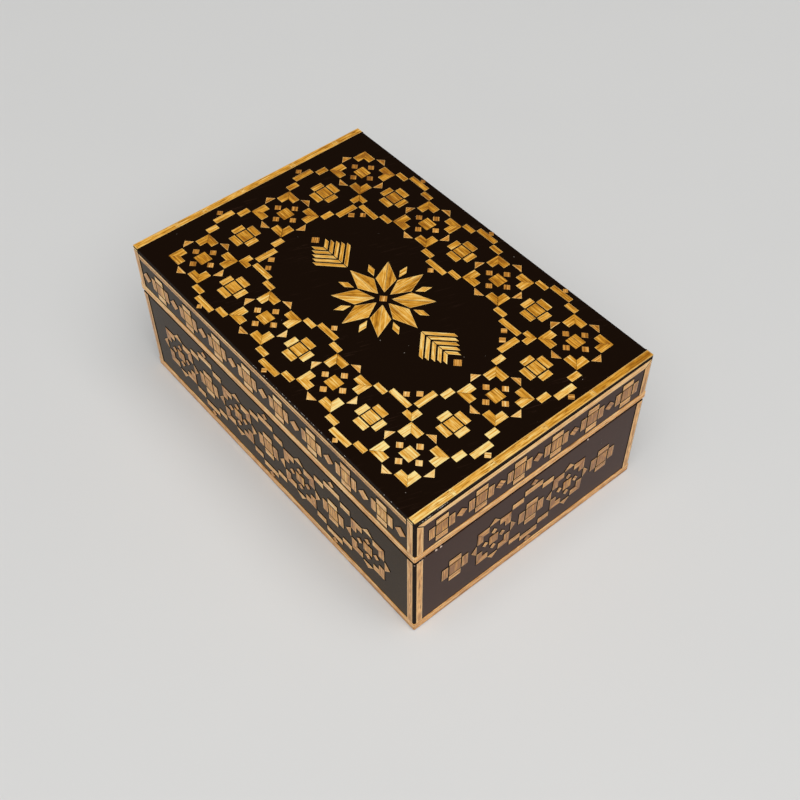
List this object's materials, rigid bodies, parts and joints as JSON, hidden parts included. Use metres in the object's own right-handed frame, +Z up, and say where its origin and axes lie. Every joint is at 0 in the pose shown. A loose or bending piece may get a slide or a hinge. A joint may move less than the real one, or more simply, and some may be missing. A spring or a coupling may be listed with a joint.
{
  "type": "straw inlay box",
  "caption": "Rectangular hinged wooden keepsake box with a shallow lid, black lacquered and covered with geometric straw inlay.",
  "frame": {"origin": "bottom centre of the whole object, hinge barrels included, at the height of the table it stands on", "axes": "+Z up, +Y from the front short side towards the hinged short side, +X across the box to the right as seen from the front"},
  "size_m": [0.0794, 0.1226, 0.049],
  "materials": {
    "stained_wood": "dark brown stain under satin varnish, fine straight grain",
    "lacquered_inlay": "near-black stained ground under clear gloss lacquer, with golden straw pieces laid on it",
    "straw": "flattened golden straw with fine lengthwise grain under gloss lacquer",
    "brass": "lightly dulled brass"
  },
  "bodies": {
    "base": {"base_bottom_board": "stained_wood", "base_left_wall": "stained_wood", "base_right_wall": "stained_wood", "base_front_wall": "stained_wood", "base_back_wall": "stained_wood", "base_left_inlay": "lacquered_inlay", "base_right_inlay": "lacquered_inlay", "base_front_inlay": "lacquered_inlay", "base_back_inlay": "lacquered_inlay", "base_left_strip_1": "straw", "base_left_strip_2": "straw", "base_right_strip_1": "straw", "base_right_strip_2": "straw", "base_front_strip_1": "straw", "base_front_strip_2": "straw", "base_back_strip_1": "straw", "base_back_strip_2": "straw", "base_foot_trim": "straw", "hinge_left_base_leaf": "brass", "hinge_left_pin": "brass", "hinge_left_base_nail_1": "brass", "hinge_left_base_nail_2": "brass", "hinge_right_base_leaf": "brass", "hinge_right_pin": "brass", "hinge_right_base_nail_1": "brass", "hinge_right_base_nail_2": "brass"},
    "lid": {"lid_top_board": "stained_wood", "lid_left_wall": "stained_wood", "lid_right_wall": "stained_wood", "lid_front_wall": "stained_wood", "lid_back_wall": "stained_wood", "lid_top_inlay": "lacquered_inlay", "lid_left_inlay": "lacquered_inlay", "lid_right_inlay": "lacquered_inlay", "lid_front_inlay": "lacquered_inlay", "lid_back_inlay": "lacquered_inlay", "lid_top_front_band": "straw", "lid_top_back_band": "straw", "lid_left_upper_trim": "straw", "lid_left_lower_trim": "straw", "lid_right_upper_trim": "straw", "lid_right_lower_trim": "straw", "lid_front_upper_trim": "straw", "lid_front_lower_trim": "straw", "lid_back_upper_trim": "straw", "lid_back_lower_trim": "straw", "lid_left_strip_1": "straw", "lid_left_strip_2": "straw", "lid_right_strip_1": "straw", "lid_right_strip_2": "straw", "lid_front_strip_1": "straw", "lid_front_strip_2": "straw", "lid_back_strip_1": "straw", "lid_back_strip_2": "straw", "hinge_left_lid_leaf": "brass", "hinge_left_lid_nail_1": "brass", "hinge_left_lid_nail_2": "brass", "hinge_right_lid_leaf": "brass", "hinge_right_lid_nail_1": "brass", "hinge_right_lid_nail_2": "brass"}
  },
  "joints": [
    {"name": "lid_hinge", "type": "hinge", "parent": "base", "child": "lid", "pos_m": [0, 0.06012, 0.0322], "axis": [-1, 0, 0], "range_deg": [0, 105]}
  ]
}
